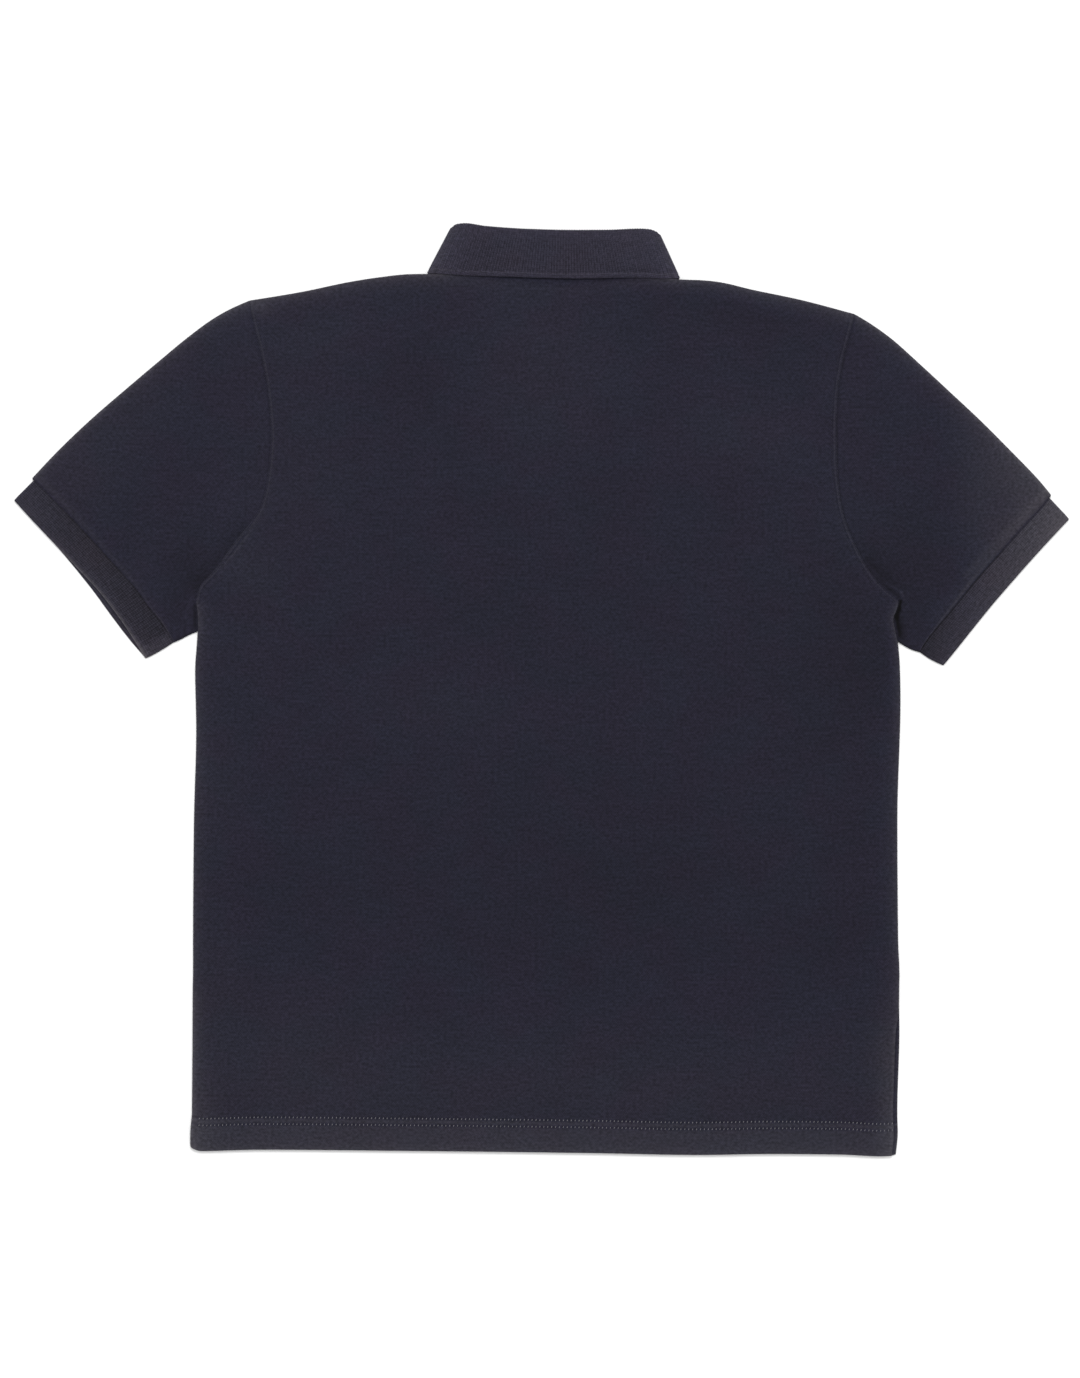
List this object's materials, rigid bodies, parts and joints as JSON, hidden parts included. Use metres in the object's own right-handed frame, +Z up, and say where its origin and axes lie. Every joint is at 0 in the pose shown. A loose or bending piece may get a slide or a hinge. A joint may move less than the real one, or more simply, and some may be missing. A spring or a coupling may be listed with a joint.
{
  "type": "polo shirt",
  "caption": "Short-sleeved polo shirt with a flat-knit collar and ribbed cuffs, laid flat face down.",
  "frame": {"origin": "centre of the bounding box on the surface that the shirt lies on", "axes": "+X across the sleeves towards the wearer's right, +Y towards the collar, +Z up, out of the shirt's back"},
  "size_m": [0.844, 0.7458, 0.0073],
  "materials": {
    "navy_pique_back": "matte cotton pique",
    "navy_pique_front": "matte cotton pique",
    "navy_pique_sleeve_left": "matte cotton pique",
    "navy_pique_sleeve_right": "matte cotton pique",
    "navy_rib_cuff_left": "matte cotton rib knit",
    "navy_rib_cuff_right": "matte cotton rib knit",
    "navy_rib_collar": "matte cotton flat knit",
    "navy_pique_placket_top": "matte cotton pique",
    "navy_pique_placket_under": "matte cotton pique",
    "navy_button": "satin polyester resin"
  },
  "bodies": {
    "root": {"back": "navy_pique_back", "front": "navy_pique_front", "sleeve_left": "navy_pique_sleeve_left", "sleeve_right": "navy_pique_sleeve_right", "cuff_left": "navy_rib_cuff_left", "cuff_right": "navy_rib_cuff_right", "collar": "navy_rib_collar", "placket_top": "navy_pique_placket_top", "placket_under": "navy_pique_placket_under", "button_1": "navy_button", "button_2": "navy_button", "button_3": "navy_button"}
  },
  "joints": []
}
